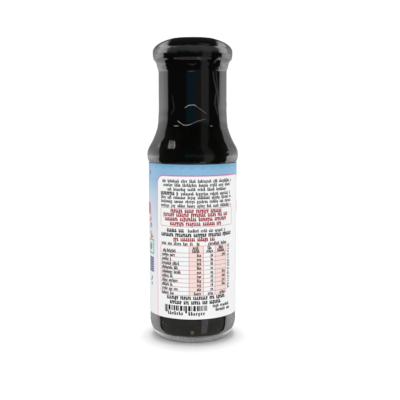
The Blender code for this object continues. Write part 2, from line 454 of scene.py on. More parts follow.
# %% Outline helpers
def arc(centre_r, centre_z, radius, start, end, steps):
    """Points on a circle, from one angle to the other in degrees, both ends included."""
    points = []
    for step in range(steps + 1):
        angle = math.radians(start + (end - start) * step / steps)
        points.append((centre_r + radius * math.cos(angle), centre_z + radius * math.sin(angle)))
    return points


def bezier(start, start_handle, end_handle, end, steps):
    """Points on a cubic Bezier curve, both ends included."""
    corners = (start, start_handle, end_handle, end)
    points = []
    for step in range(steps + 1):
        t = step / steps
        weights = ((1 - t) ** 3, 3 * t * (1 - t) ** 2, 3 * t * t * (1 - t), t ** 3)
        points.append(tuple(sum(w * c[axis] for w, c in zip(weights, corners)) for axis in (0, 1)))
    return points


def ease(start, end, steps):
    """Points from one radius to another that leave and arrive straight up."""
    points = []
    for step in range(steps + 1):
        t = step / steps
        share = t * t * (3 - 2 * t)
        points.append((start[0] + (end[0] - start[0]) * share, start[1] + (end[1] - start[1]) * t))
    return points


def straight(start, end, steps):
    """Evenly spaced points on a straight line, both ends included."""
    return [tuple(a + (b - a) * step / steps for a, b in zip(start, end)) for step in range(steps + 1)]


def offset(points, distance):
    """The same outline moved by a distance to its right, as seen when walking along it."""
    moved = []
    for index, (radius, height) in enumerate(points):
        before = points[max(index - 1, 0)]
        after = points[min(index + 1, len(points) - 1)]
        run = (after[0] - before[0], after[1] - before[1])
        length = math.hypot(run[0], run[1])
        moved.append((radius + distance * run[1] / length, height - distance * run[0] / length))
    return moved


print("a quarter circle:", arc(0, 0, 1, 0, 90, 2))

# %% [markdown]
# One more helper spins an outline once round the axis. A ring's outline closes on itself, any other one
# starts and ends on the axis. A second helper turns a finished bmesh into a piece that rides on the
# model's only body, with the finish that it is given.

# %% Spin and piece helpers
WELD = 0.002 * MM
SHARP_TURN = 40.0


def spun(outline, sides, ring=False):
    """A bmesh turned from an outline, with its normals pointing outwards."""
    form = bmesh.new()
    verts = [form.verts.new((radius * MM, 0.0, height * MM)) for radius, height in outline]
    edges = [form.edges.new(pair) for pair in zip(verts, verts[1:])]
    if ring:
        edges.append(form.edges.new((verts[-1], verts[0])))
    bmesh.ops.spin(form, geom=verts + edges, cent=(0, 0, 0), axis=(0, 0, 1),
                   angle=math.tau, steps=sides, use_merge=True)
    bmesh.ops.remove_doubles(form, verts=form.verts, dist=WELD)
    bmesh.ops.recalc_face_normals(form, faces=form.faces)
    return form


def piece_from(form, name, finish, replaces=None):
    """A piece of the model from a bmesh, with a material and the node that it stands for."""
    mesh = bpy.data.meshes.new(name)
    form.to_mesh(mesh)
    form.free()
    mesh.shade_smooth()
    mesh.set_sharp_from_angle(angle=math.radians(SHARP_TURN))
    mesh.materials.append(finish)
    piece = bpy.data.objects.new(name, mesh)
    bpy.context.collection.objects.link(piece)
    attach(piece, "root")
    if replaces:
        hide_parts(replaces)
    print(name, "has", sum(len(face.vertices) - 2 for face in mesh.polygons), "triangles")


print("spun points closer than", WELD / MM, "mm are merged")

# %% [markdown]
# ## The glass bottle
#
# This is a moulded bottle of flint glass, about 2.4 mm thick, with a rounded heel, a bulge that
# keeps the label from rubbing, and a long flare into the neck. Moulding leaves marks that a plain
# spin doesn't have: short ridges round the foot, which keep the hot glass off the conveyor, and a
# fine seam up each side. We spin the wall and then move its points to make both.

# %% Sizes of the glass
BODY_R = 22.86
FOOT_LAND_R = 13.9
FOOT_CORNER_R = 6.5
HEEL_R = 11.4
HEEL_TURN = 45.0
PUSH_UP = 2.0
PANEL_R = 22.7
PANEL_BOTTOM_Z = 13.8
PANEL_TOP_Z = 92.9
PANEL_STEP_Z = 0.2
PANEL_HOLD_FAR = 2.5
PANEL_HOLD_NEAR = 0.2
PANEL_HOLD_INSIDE = 0.3
WALL = 2.4
FLOOR_Z = 3.4
FLOOR_RISE = 1.2
INNER_HEEL_R = 8.5
INNER_BULGE_R = 21.1
BULGE_R = 23.87
BULGE_Z = 96.5
BULGE_UNDER_R = 7.0
BULGE_OVER_R = 9.4
BULGE_TURN = 31.0
NECK_FOOT_Z = 121.1
FLARE_LOW_HANDLE = 9.7
FLARE_HIGH_HANDLE = 3.5
NECK_R = 17.1
BORE_R = 14.7
BEAD_FOOT_Z = 139.2
BEAD_Z = 142.9
BEAD_TOP_Z = 143.7
BEAD_R = 18.2
FINISH_FOOT_Z = 144.2
FINISH_TOP_Z = 150.6
FINISH_R = 17.6
MOUTH_Z = 153.2
RIM_R = 1.1

glass_low, glass_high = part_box("bottle")
print("the packed bottle is", round((glass_high.z - glass_low.z) / MM, 1), "mm tall")

# %% Outline of the glass
def dome(rim_r, rim_z, rise, steps):
    """A shallow dome, from the axis out to a rim."""
    return [(rim_r * step / steps, rim_z + rise * math.cos(math.pi / 2 * step / steps) ** 2)
            for step in range(steps + 1)]


def heel_outline():
    """The outside of the body from the foot's flat land up to the straight side."""
    turn = math.radians(HEEL_TURN)
    heel_z = FOOT_CORNER_R * (1 - math.sin(turn)) + HEEL_R * math.sin(turn)
    corner_r = BODY_R - HEEL_R * (1 - math.cos(turn)) - FOOT_CORNER_R * math.cos(turn)
    corner = arc(corner_r, FOOT_CORNER_R, FOOT_CORNER_R, -90, -HEEL_TURN, 10)
    heel = arc(BODY_R - HEEL_R, heel_z, HEEL_R, -HEEL_TURN, 0, 10)
    return corner + heel[1:]


def bulge_outline():
    """The rounded bulge at the shoulder, from the top of the label panel up to the flare."""
    drop = BULGE_Z - PANEL_TOP_Z - PANEL_STEP_Z
    under_turn = math.degrees(math.asin(drop / BULGE_UNDER_R))
    under = arc(BULGE_R - BULGE_UNDER_R, BULGE_Z, BULGE_UNDER_R, -under_turn, 0, 8)
    over = arc(BULGE_R - BULGE_OVER_R, BULGE_Z, BULGE_OVER_R, 0, BULGE_TURN, 10)
    return under + over[1:]


def flare_outline(steps):
    """The shoulder from the top of the bulge up into the straight neck."""
    turn = math.radians(BULGE_TURN)
    low_r = BULGE_R - BULGE_OVER_R * (1 - math.cos(turn))
    low_z = BULGE_Z + BULGE_OVER_R * math.sin(turn)
    low_handle = (low_r - FLARE_LOW_HANDLE * math.sin(turn), low_z + FLARE_LOW_HANDLE * math.cos(turn))
    high_handle = (NECK_R, NECK_FOOT_Z - FLARE_HIGH_HANDLE)
    return bezier((low_r, low_z), low_handle, high_handle, (NECK_R, NECK_FOOT_Z), steps)


def cavity_outline():
    """The inside of the glass, from the middle of its floor up to the foot of the neck's bore."""
    inner_r = PANEL_R - WALL
    heel = arc(inner_r - INNER_HEEL_R, FLOOR_Z + INNER_HEEL_R, INNER_HEEL_R, -90, 0, 12)
    floor_line = dome(heel[0][0], FLOOR_Z, FLOOR_RISE, 6)
    shoulder = offset(flare_outline(16), -WALL)[1:-1]
    bulge = [(inner_r, PANEL_TOP_Z - WALL), (INNER_BULGE_R, BULGE_Z)]
    return floor_line + heel[1:] + bulge + shoulder + [(BORE_R, NECK_FOOT_Z + WALL)]


def panel_outline():
    """The sunk label panel, with points close to its edges that hold the flat side flat."""
    ledge_z = PANEL_BOTTOM_Z - PANEL_STEP_Z
    return [(BODY_R, PANEL_BOTTOM_Z - PANEL_HOLD_FAR), (BODY_R, ledge_z - PANEL_HOLD_NEAR),
            (BODY_R, ledge_z), (PANEL_R, PANEL_BOTTOM_Z),
            (PANEL_R, PANEL_BOTTOM_Z + PANEL_HOLD_INSIDE), (PANEL_R, PANEL_TOP_Z - PANEL_HOLD_INSIDE),
            (PANEL_R, PANEL_TOP_Z)]


def bottle_outline():
    """The whole glass: up the outside, over the rim, down the bore and back along the floor."""
    foot = dome(FOOT_LAND_R, 0.0, PUSH_UP, 6)
    land = straight((FOOT_LAND_R, 0.0), heel_outline()[0], 3)[1:-1]
    bead = ease((NECK_R, BEAD_FOOT_Z), (BEAD_R, BEAD_Z), 8) + [(BEAD_R, BEAD_TOP_Z)]
    finish = [(FINISH_R, FINISH_FOOT_Z), (FINISH_R, FINISH_TOP_Z)]
    rim = arc(BORE_R + RIM_R, MOUTH_Z - RIM_R, RIM_R, 0, 180, 8)
    body = foot + land + heel_outline() + panel_outline() + bulge_outline() + flare_outline(28)[1:]
    return body + bead + finish + rim + list(reversed(cavity_outline()))


print("glass outline:", len(bottle_outline()), "points")

# %% [markdown]
# Flint glass is clear, with a trace of green where it is thick. Its surface is fire-polished, so it
# mirrors the room sharply, but a mould never leaves it quite flat: a faint, slow ripple bends the
# reflections. The index of refraction of soda-lime glass is 1.52.

# %% Flint glass
RIPPLE_MM = 9.0
RIPPLE_DEPTH = 0.5 * MM

flint_glass, tree = new_material("moulded_flint_glass")
where = add_node(tree, "TexCoord")
ripple = add_node(tree, "TexNoise", {
    "Scale": 1 / (RIPPLE_MM * MM), "Detail": 2.0, "Vector": where.outputs["Object"]})
uneven = add_node(tree, "Bump", {"Strength": 0.10, "Distance": RIPPLE_DEPTH, "Height": ripple})
glass_shader = add_node(tree, "BsdfPrincipled", {
    "Base Color": linear("#F3FAF5"), "Roughness": 0.0, "IOR": 1.52, "Transmission Weight": 1.0,
    "Normal": uneven})
finish_material(flint_glass, glass_shader)
print("glass ready")

# %% Spin the glass, then mark its foot and seams
GLASS_SIDES = 336
KNURL_COUNT = 56
KNURL_DEPTH = 1.25
KNURL_IN_R = 15.2
KNURL_OUT_R = 21.0
KNURL_TOP_Z = 3.6
SEAM_ANGLE = 12.0
SEAM_HEIGHT = 0.07
SEAM_WIDTH = 0.35
SEAM_LOW_Z = 1.0
SEAM_CLEAR = 1.0
FACE_SLACK = 0.05


def bump(distance, width):
    """A smooth hump: 1 in the middle, near 0 beyond a few widths."""
    return math.exp(-(distance / width) ** 2)


def push_out(vert, radius, lift):
    """Move a point of a round form away from the axis, by a lift in the radius's own units."""
    vert.co.x *= 1 + lift / radius
    vert.co.y *= 1 + lift / radius


glass_form = spun(bottle_outline(), GLASS_SIDES)
for vert in glass_form.verts:
    radius = math.hypot(vert.co.x, vert.co.y) / MM
    height = vert.co.z / MM
    turn = math.atan2(vert.co.y, vert.co.x)
    if KNURL_IN_R < radius < KNURL_OUT_R and height < KNURL_TOP_Z:
        across = math.sin(math.pi * (radius - KNURL_IN_R) / (KNURL_OUT_R - KNURL_IN_R))
        groove = (0.5 - 0.5 * math.cos(KNURL_COUNT * turn)) ** 1.5
        vert.co.z += KNURL_DEPTH * across * groove * MM
    on_panel = PANEL_BOTTOM_Z - SEAM_CLEAR < height < PANEL_TOP_Z + SEAM_CLEAR
    outside = radius > NECK_R - FACE_SLACK
    if outside and SEAM_LOW_Z < height < NECK_FOOT_Z and not on_panel:
        across_seam = math.sin(turn - math.radians(SEAM_ANGLE)) * radius
        push_out(vert, radius, SEAM_HEIGHT * bump(across_seam, SEAM_WIDTH))
glass_form.normal_update()
piece_from(glass_form, "glass_bottle", flint_glass, "bottle")

# %% [markdown]
# ## The sauce
#
# The filling is a dark brown soy sauce, nearly opaque in this thickness. It wets the glass, so
# there must be no film of air between them: the piece reaches a little way into the wall. That way
# the glass bends the view of it right out to the bottle's edge, as a full bottle does.

# %% Dark sauce
SAUCE_SIDES = 160
SAUCE_INTO_WALL = 0.12
SAUCE_LEVEL_Z = 141.0
SAUCE_CREEP = 0.8
CLOUD_MM = 6.0

dark_sauce, tree = new_material("soy_sauce")
where = add_node(tree, "TexCoord")
cloud = add_node(tree, "TexNoise", {
    "Scale": 1 / (CLOUD_MM * MM), "Detail": 4.0, "Vector": where.outputs["Object"]})
cloudy = add_node(tree, "ValToRGB", {"Fac": cloud},
                  stops=[(0.35, linear("#0B0A07")), (0.7, linear("#151208"))])
sauce_shader = add_node(tree, "BsdfPrincipled", {
    "Base Color": cloudy, "Roughness": 0.35, "IOR": 1.36, "Specular IOR Level": 0.1})
finish_material(dark_sauce, sauce_shader)


def sauce_outline():
    """The cavity, a hair wider, cut off in the neck with the surface creeping up the glass."""
    wetted = offset(cavity_outline(), SAUCE_INTO_WALL)
    wetted[0] = (0.0, wetted[0][1])
    top_r = BORE_R + SAUCE_INTO_WALL
    wetted[-1] = (top_r, wetted[-1][1])
    creep = [(top_r * (1 - t), SAUCE_LEVEL_Z + SAUCE_CREEP * (1 - t) ** 6)
             for t in (0, .06, .15, .3, .6, 1)]
    return wetted + creep


piece_from(spun(sauce_outline(), SAUCE_SIDES), "sauce_fill", dark_sauce, "sauce")

# %% [markdown]
# Bits of sesame, garlic and pepper float in it, and a few settle against the glass near the heel.
# Each is a small squashed, uneven ball that just breaks the sauce's skin. A spot is a distance round
# the glass from the front, a height, a size and a kind.

# %% Bits of spice in the sauce
BIT_LOOKS = [("sesame", "#D0A850"), ("garlic", "#5C5E55"), ("pepper", "#6A4038")]
BIT_SPOTS = [(0.0, 7.0, 2.6, 0), (-3.2, 6.6, 1.0, 1), (22.6, 12.6, 1.5, 2), (-13.8, 9.6, 0.8, 0),
             (-9.0, 108.0, 0.6, 1), (13.0, 104.0, 0.7, 1)]
BIT_COUNT = 26
BIT_PLACES = (30, 115)
BIT_HEIGHTS = (7, 12.5)
BIT_SIZES = (0.5, 1.2)
BIT_SHAPE = (1.0, 0.35, 0.7)
HUSK_SPECK_MM = 0.5

random.seed(7)
for _ in range(BIT_COUNT):
    BIT_SPOTS.append((random.uniform(*BIT_PLACES), random.uniform(*BIT_HEIGHTS),
                      random.uniform(*BIT_SIZES), random.randrange(len(BIT_LOOKS))))


def cavity_radius(height):
    """The inside radius of the glass at a height."""
    line = cavity_outline()
    for low, high in zip(line, line[1:]):
        if low[1] < high[1] and low[1] <= height <= high[1]:
            return low[0] + (high[0] - low[0]) * (height - low[1]) / (high[1] - low[1])
    return BORE_R


def husk_of(name, colour):
    """The dry skin of a spice, mottled with dark specks."""
    made, tree = new_material(name)
    where = add_node(tree, "TexCoord")
    specks = add_node(tree, "TexNoise", {
        "Scale": 1 / (HUSK_SPECK_MM * MM), "Vector": where.outputs["Object"]})
    mottled = add_node(tree, "ValToRGB", {"Fac": specks},
                       stops=[(0.3, linear("#1C1810")), (0.65, linear(colour))])
    return finish_material(made, add_node(tree, "BsdfPrincipled", {
        "Base Color": mottled, "Roughness": 0.6}))


for kind, (bit_name, bit_colour) in enumerate(BIT_LOOKS):
    bits = bmesh.new()
    for along, height, size, which in BIT_SPOTS:
        if which != kind:
            continue
        wall_r = cavity_radius(height)
        turn = along / wall_r
        centre = Vector((wall_r * math.sin(turn), -wall_r * math.cos(turn), height)) * MM
        tilt = Matrix.Rotation(random.uniform(0, math.tau), 4, "Y")
        shape = Matrix.Diagonal([share * size * MM for share in BIT_SHAPE] + [1])
        bmesh.ops.create_icosphere(bits, subdivisions=2, radius=0.5, matrix=(
            Matrix.Translation(centre) @ Matrix.Rotation(turn, 4, "Z") @ tilt @ shape))
    piece_from(bits, bit_name + "_bits", husk_of(bit_name + "_husk", bit_colour))

# %% [markdown]
# ## The cap
#
# A twist-off cap is pressed from lacquered tinplate, with a curl rolled at its lower edge and a
# button in its top that clicks up when the seal is broken. The film hides all but the top, so the
# crown and the button get the steps.

# %% Lacquered tinplate
CAP_SIDES = 160
CAP_R = 20.0
CAP_WALL = 0.5
CURL_R = 1.2
CURL_Z = 147.25
SKIRT_TOP_Z = 150.1
CROWN_R = 10.0
CROWN_Z = 156.2
CROWN_SLOPE = 0.22
CROWN_UP_HANDLE = 2.4
CROWN_OUT_HANDLE = 4.9
CROWN_RIM_R = 0.35
CROWN_RIM_IN = 0.6
WELL_IN = 1.3
BUTTON_R = 6.5
BUTTON_STEP_R = 7.7
BUTTON_DROP = 0.5
LACQUER_PEEL_MM = 0.8

black_lacquer, tree = new_material("lacquered_tinplate")
where = add_node(tree, "TexCoord")
orange_peel = add_node(tree, "TexNoise", {
    "Scale": 1 / (LACQUER_PEEL_MM * MM), "Detail": 2.0, "Vector": where.outputs["Object"]})
peel_bump = add_node(tree, "Bump", {"Strength": 0.12, "Distance": 0.05 * MM, "Height": orange_peel})
wear = add_node(tree, "ValToRGB", {"Fac": orange_peel},
                stops=[(0.3, linear("#0C0C0C")), (0.75, linear("#151515"))])
lacquer_shader = add_node(tree, "BsdfPrincipled", {
    "Base Color": wear, "Roughness": 0.28, "Coat Weight": 0.5, "Coat Roughness": 0.1,
    "Normal": peel_bump})
finish_material(black_lacquer, lacquer_shader)


def crown_outline(steps):
    """The cap's shoulder, from the top of its skirt inwards to the edge of its top panel."""
    up_handle = (CAP_R, SKIRT_TOP_Z + CROWN_UP_HANDLE)
    out_handle = (CROWN_R + CROWN_OUT_HANDLE, CROWN_Z - CROWN_OUT_HANDLE * CROWN_SLOPE)
    return bezier((CAP_R, SKIRT_TOP_Z), up_handle, out_handle, (CROWN_R, CROWN_Z), steps)


def cap_outline():
    """The cap: ceiling, inside of the skirt, curl, outside of the skirt, crown and button."""
    skin = crown_outline(20)
    inside = offset(skin, -CAP_WALL)
    curl = arc(CAP_R - CURL_R, CURL_Z, CURL_R, 180, 360, 12)
    ceiling_z = CROWN_Z - BUTTON_DROP - CAP_WALL
    ceiling = [(0.0, ceiling_z), (BUTTON_STEP_R, ceiling_z)]
    rim = arc(CROWN_R - CROWN_RIM_IN, CROWN_Z - CROWN_RIM_R, CROWN_RIM_R, 60, 150, 5)
    well_z = CROWN_Z - BUTTON_DROP
    well = ease((CROWN_R - WELL_IN, well_z), (BUTTON_STEP_R, well_z), 2)
    button = [(BUTTON_R * (1 - t), well_z + BUTTON_DROP * t * (2 - t)) for t in (0, .15, .35, .6, 1)]
    return ceiling + list(reversed(inside)) + curl + skin[:-1] + rim + well + button


piece_from(spun(cap_outline(), CAP_SIDES), "twist_cap", black_lacquer, "cap")

# %% [markdown]
# ## The shrink film
#
# A short tube of black PVC film is slipped over the cap and neck and shrunk with hot air. It pulls
# tight over the curl, bridges the gap below it, and keeps small folds wherever it had too much
# film to lose. It could be a cloth simulation, but film this stiff only keeps a few creases, so we
# spin a thin closed shell and press the creases in by moving its points.

# %% Outline of the film
FILM_SIDES = 360
FILM_GAP = 0.3
FILM_WALL = 0.3
FILM_PROUD = FILM_GAP + FILM_WALL
HEM_GAP = 0.04
HEM_PROUD = 0.12
HEM_TAPER = 6.0
FILM_NECK_R = NECK_R + FILM_PROUD
SLEEVE_BOTTOM_Z = 111.7
SLEEVE_WAIST_R = 18.6
SLEEVE_WAIST_Z = 143.2
SLEEVE_FOLD = [(18.92, 143.9), (19.2, 144.4), (19.48, 144.95), (20.12, 145.5), (20.34, 145.95)]
SLEEVE_SKIRT = [(20.42, 146.4), (20.46, 146.9), (20.55, 147.4), (20.64, 148.0), (20.68, 148.7)]
SLEEVE_TOP_R = 20.67
SLEEVE_TOP_Z = 149.5
FILM_CROWN_Z = 156.6
FILM_UP_HANDLE = 3.6
FILM_OUT_HANDLE = 5.3
LIP_R = 11.0


def from_height(points, height):
    """The part of a rising outline above a height, starting exactly there."""
    for index in range(len(points) - 1):
        low, high = points[index], points[index + 1]
        if low[1] <= height < high[1]:
            share = (height - low[1]) / (high[1] - low[1])
            return [(low[0] + share * (high[0] - low[0]), height)] + points[index + 1:]
    raise ValueError("the outline doesn't reach this height")


def on_glass(near_hem, near_neck):
    """A line over the glass below the neck, its distance growing from the hem up to the neck."""
    low, high = (from_height(offset(flare_outline(40), out), SLEEVE_BOTTOM_Z)
                 for out in (near_hem, near_neck))
    line = []
    for index, (radius, height) in enumerate(high):
        share = min(1.0, (height - SLEEVE_BOTTOM_Z) / HEM_TAPER)
        share = share * share * (3 - 2 * share)
        near = low[min(index, len(low) - 1)][0]
        line.append((near + share * (radius - near), height))
    return line


def film_outline():
    """The film: its outer face from the lower edge up to the lip, then its inner face back."""
    over_glass = on_glass(HEM_PROUD, FILM_PROUD)
    neck = straight((FILM_NECK_R, NECK_FOOT_Z), (FILM_NECK_R, BEAD_FOOT_Z), 44)
    waist = ease((FILM_NECK_R, BEAD_FOOT_Z), (SLEEVE_WAIST_R, SLEEVE_WAIST_Z), 12)
    skirt = SLEEVE_SKIRT + [(SLEEVE_TOP_R, SLEEVE_TOP_Z)]
    crown = bezier((SLEEVE_TOP_R, SLEEVE_TOP_Z), (SLEEVE_TOP_R, SLEEVE_TOP_Z + FILM_UP_HANDLE),
                   (CROWN_R + FILM_OUT_HANDLE, FILM_CROWN_Z - FILM_OUT_HANDLE * CROWN_SLOPE),
                   (CROWN_R, FILM_CROWN_Z), 30)
    over_crown = [point for point in crown[1:] if point[0] > LIP_R]
    outer = over_glass + neck[1:] + waist[1:] + SLEEVE_FOLD + skirt + over_crown
    inner = on_glass(HEM_GAP, FILM_GAP) + offset(outer, -FILM_WALL)[len(over_glass):]
    return outer + list(reversed(inner[::2]))


print("film outline:", len(film_outline()), "points")

# %% [markdown]
# The creases are short polylines drawn on the unrolled neck: millimetres round it from the front, and
# height. Two shallow arcs face each other near the lower edge, long folds run down the right side, and a
# small knot of folds sits under the cap's edge. A ring of puckers goes all round. Each crease has its
# line, how far it stands out, its width, and how strong the painted highlight along it is. The film's
# colour is whitened along a crease to stand for the glint of a light on its steep sides, and the two
# short marks on the lower edge are painted highlights as well.

# %% Creases of the film
# The last number of each crease is the strength of its painted highlight.
CREASES = [
    ([(-3.6, 120.9), (-1.8, 122.1), (0.9, 122.3), (2.0, 121.6)], 0.10, 0.16, 0.75),
    ([(2.0, 121.6), (7.2, 118.0)], 0.08, 0.15, 0.28),
    ([(-7.4, 114.3), (-5.9, 113.3)], 0.09, 0.17, 0.75),
    ([(-5.9, 113.3), (-4.2, 112.2), (-2.4, 112.1), (-0.4, 112.8)], 0.10, 0.16, 0.65),
    ([(-0.4, 112.8), (2.6, 114.2), (6.8, 115.4)], 0.08, 0.15, 0.28),
    ([(-9.3, 111.85), (-7.0, 111.85)], 0.03, 0.14, 0.9),
    ([(9.3, 111.85), (10.2, 111.85)], 0.03, 0.14, 0.9),
    ([(11.2, 138.8), (11.8, 134.8), (13.5, 129.2), (12.9, 126.9), (12.3, 122.9), (14.3, 117.5)],
     0.06, 0.45, 0.08),
    ([(13.0, 140.5), (13.9, 132.0), (14.2, 124.0), (15.6, 113.5)], 0.05, 0.6, 0.05),
    ([(-10.8, 127.0), (-9.6, 120.5), (-11.5, 117.5)], 0.04, 0.5, 0.03),
    ([(11.2, 143.5), (12.6, 145.6), (14.6, 145.8), (15.6, 142.2)], 0.05, 0.5, 0.15),
    ([(16.4, 146.2), (16.9, 143.2), (18.2, 141.2)], 0.05, 0.5, 0.15),
    ([(-1.8, 142.4), (0.2, 141.9), (1.7, 142.5)], 0.02, 0.3, 0.05),
    ([(-1.8, 138.8), (1.0, 139.0)], 0.03, 0.3, 0.08),
]
BACK_CREASES = 9
PUCKER_COUNT = 46
PUCKER_ZONE = 8.0
PUCKER_WIDTH = 0.8
PUCKER_TALL = 2.5

random.seed(19)
for _ in range(BACK_CREASES):
    crease_u = random.uniform(22, 88)
    crease_z = random.uniform(114, 132)
    lean = random.uniform(-2.5, 2.5)
    CREASES.append(([(crease_u, crease_z), (crease_u + lean, crease_z + 2.5),
                     (crease_u + 2.4 * lean, crease_z + 4)], random.uniform(0.08, 0.18), 0.36, 0.5))
PUCKERS = [(random.uniform(0, math.tau), random.uniform(0.01, 0.03), random.uniform(0.6, 1.6))
           for _ in range(PUCKER_COUNT)]
WAVES = [(count, random.uniform(0, math.tau), random.uniform(0.5, 1.0)) for count in (3, 5, 8, 13)]


def to_line(u, z, line):
    """The distance from a spot to a polyline, and how far along the line it is, from 0 to 1."""
    best = (1e9, 0.0)
    for index, (start, end) in enumerate(zip(line, line[1:])):
        run = (end[0] - start[0], end[1] - start[1])
        share = ((u - start[0]) * run[0] + (z - start[1]) * run[1]) / (run[0] ** 2 + run[1] ** 2)
        share = min(max(share, 0.0), 1.0)
        away = math.hypot(u - start[0] - share * run[0], z - start[1] - share * run[1])
        best = min(best, (away, (index + share) / (len(line) - 1)))
    return best


def wave(turn):
    """A slow, uneven wave round the axis, between about -1 and 1."""
    return sum(size * math.sin(count * turn + phase) for count, phase, size in WAVES) / len(WAVES)


def reach_of(line, margin):
    """The box round a polyline: lowest and highest place round the neck, then height."""
    places = [point[0] for point in line]
    heights = [point[1] for point in line]
    return min(places) - margin, max(places) + margin, min(heights) - margin, max(heights) + margin


CREASE_BOXES = [reach_of(line, 3 * width) for line, _, width, _ in CREASES]


def film_relief(turn, height):
    """How far the film stands out from its smooth outline, in millimetres, and how strong its painted
    highlight is.
    """
    u = FILM_NECK_R * turn
    out = 0.0
    white = 0.0
    for (line, lift, width, pale), (left, right, low, high) in zip(CREASES, CREASE_BOXES):
        if left < u < right and low < height < high:
            away, along = to_line(u, height, line)
            fade = math.sin(math.pi * (0.12 + 0.76 * along)) ** 0.5
            out += lift * bump(away, width) * fade
            white = max(white, pale * bump(away, 0.8 * width) * fade)
    above_waist = height - SLEEVE_WAIST_Z
    if abs(above_waist) < PUCKER_ZONE:
        for place, lift, reach in PUCKERS:
            gap = (turn - place + math.pi) % math.tau - math.pi
            out += lift * bump(gap * FILM_NECK_R, PUCKER_WIDTH) * bump(above_waist, PUCKER_TALL * reach)
    return out, white


print("creases:", len(CREASES))

# %% [markdown]
# PVC film is glossy and quite black, with a faint orange-peel from the shrinking. Over the curl, a
# greyish band with ragged edges is painted into its colour. It is a painted reflection of a light above
# the front, and the film is also a little rougher there. The band follows the height on the piece, so it
# is the same from every side.

# %% Black shrink film
# Heights and edges of the band of painted reflection on the film.
SHEEN_BAND_LOW_Z = 148.6
SHEEN_BAND_HIGH_Z = 151.4
SHEEN_BAND_SOFT = 0.35
SHEEN_BAND_FADE = 1.1
SHEEN_BAND_SWAY = 2.4
SHEEN_BAND_SWAY_MM = 7.0
FILM_PEEL_MM = 2.2

shrink_film, tree = new_material("shrunk_pvc_film")
where = add_node(tree, "TexCoord")
axes = add_node(tree, "SeparateXYZ", {0: where.outputs["Object"]})
ragged = add_node(tree, "TexNoise", {
    "Scale": 1 / (SHEEN_BAND_SWAY_MM * MM), "Detail": 2.0, "Vector": where.outputs["Object"]})
sway = add_node(tree, "Math", {
    "operation": "MULTIPLY_ADD", 0: ragged, 1: SHEEN_BAND_SWAY * MM, 2: -SHEEN_BAND_SWAY / 2 * MM})
swayed = add_node(tree, "Math", {"operation": "ADD", 0: axes.outputs["Z"], 1: sway})
rise = step_up(tree, swayed, SHEEN_BAND_LOW_Z * MM, SHEEN_BAND_FADE * MM)
fall = step_up(tree, swayed, SHEEN_BAND_HIGH_Z * MM, SHEEN_BAND_SOFT * MM, downwards=True)
painted_sheen_band = add_node(tree, "Math", {"operation": "MULTIPLY", 0: rise, 1: fall})
# Inside the band the film's colour turns grey: a painted reflection, not a mark on the film.
painted_sheen_tint = add_node(tree, "ValToRGB", {"Fac": painted_sheen_band},
                       stops=[(0.0, linear("#060606")), (1.0, linear("#2C2D2D"))])
# Painted highlights: along the creases the film's colour is mixed towards near-white, standing for
# glints of light.
painted_glint_mask = add_node(tree, "Attribute", {"attribute_name": "painted_crease_glint"})
film_tint = add_node(tree, "MixRGB", {
    "Fac": painted_glint_mask.outputs["Fac"], "Color1": painted_sheen_tint, "Color2": linear("#C9CACA")})
film_rough = add_node(tree, "MapRange", {"To Min": 0.07, "To Max": 0.22, "Value": painted_sheen_band})
fine = add_node(tree, "TexNoise", {
    "Scale": 1 / (FILM_PEEL_MM * MM), "Detail": 3.0, "Vector": where.outputs["Object"]})
film_bump = add_node(tree, "Bump", {"Strength": 0.05, "Distance": 0.12 * MM, "Height": fine})
film_shader = add_node(tree, "BsdfPrincipled", {
    "Base Color": film_tint, "Roughness": film_rough, "Normal": film_bump})
finish_material(shrink_film, film_shader)
print("film ready")

# %% Spin the film and crease it
HEM_WAVE = 0.12
LIP_WAVE = 0.5
HIP_WAVE = 0.12
HEM_REACH = 1.5
LIP_REACH = 2.0
HIP_REACH = 2.0
LIP_ZONE = 4.0
SHARP_CREASE = 0.2


def near_crease(place, height, boxes):
    """Whether a spot on the unrolled neck lies in one of the boxes round the creases."""
    return any(left < place < right and low < height < high for left, right, low, high in boxes)


film_form = spun(film_outline(), FILM_SIDES, ring=True)
sharp_boxes = [box for box, (*_, pale) in zip(CREASE_BOXES, CREASES) if pale > SHARP_CREASE]
creased_edges = set()
for face in film_form.faces:
    middle = face.calc_center_median() / MM
    place = FILM_NECK_R * math.atan2(middle.x, -middle.y)
    outer = math.hypot(middle.x, middle.y) > FILM_NECK_R - FACE_SLACK
    if outer and near_crease(place, middle.z, sharp_boxes):
        creased_edges.update(face.edges)
bmesh.ops.subdivide_edges(film_form, edges=list(creased_edges), cuts=2, use_grid_fill=True)
# Each point of the film keeps the strength of the painted highlight on it.
painted_crease_glint = film_form.verts.layers.float.new("painted_crease_glint")
for vert in film_form.verts:
    radius = math.hypot(vert.co.x, vert.co.y) / MM
    height = vert.co.z / MM
    turn = math.atan2(vert.co.x, -vert.co.y)
    if turn < -math.pi / 2:
        turn += math.tau
    lift, vert[painted_crease_glint] = film_relief(turn, height)
    if height > SLEEVE_TOP_Z + LIP_ZONE:
        lift -= LIP_WAVE * wave(turn) * bump(radius - LIP_R, LIP_REACH)
    push_out(vert, radius, lift)
    vert.co.z += HEM_WAVE * wave(turn) * bump(height - SLEEVE_BOTTOM_Z, HEM_REACH) * MM
    vert.co.z += HIP_WAVE * wave(turn) * bump(height - SLEEVE_WAIST_Z, HIP_REACH) * MM
film_form.normal_update()
piece_from(film_form, "shrink_sleeve", shrink_film, "neck_sleeve")

# %% [markdown]
# ## The label
#
# The label is one strip of coated paper, printed, wrapped once round the panel and glued where its
# ends overlap. The background print runs from sky blue at the top to white at the foot. We spin the
# strip as a closed band, and press in a small step at the overlap, which is on the far side.

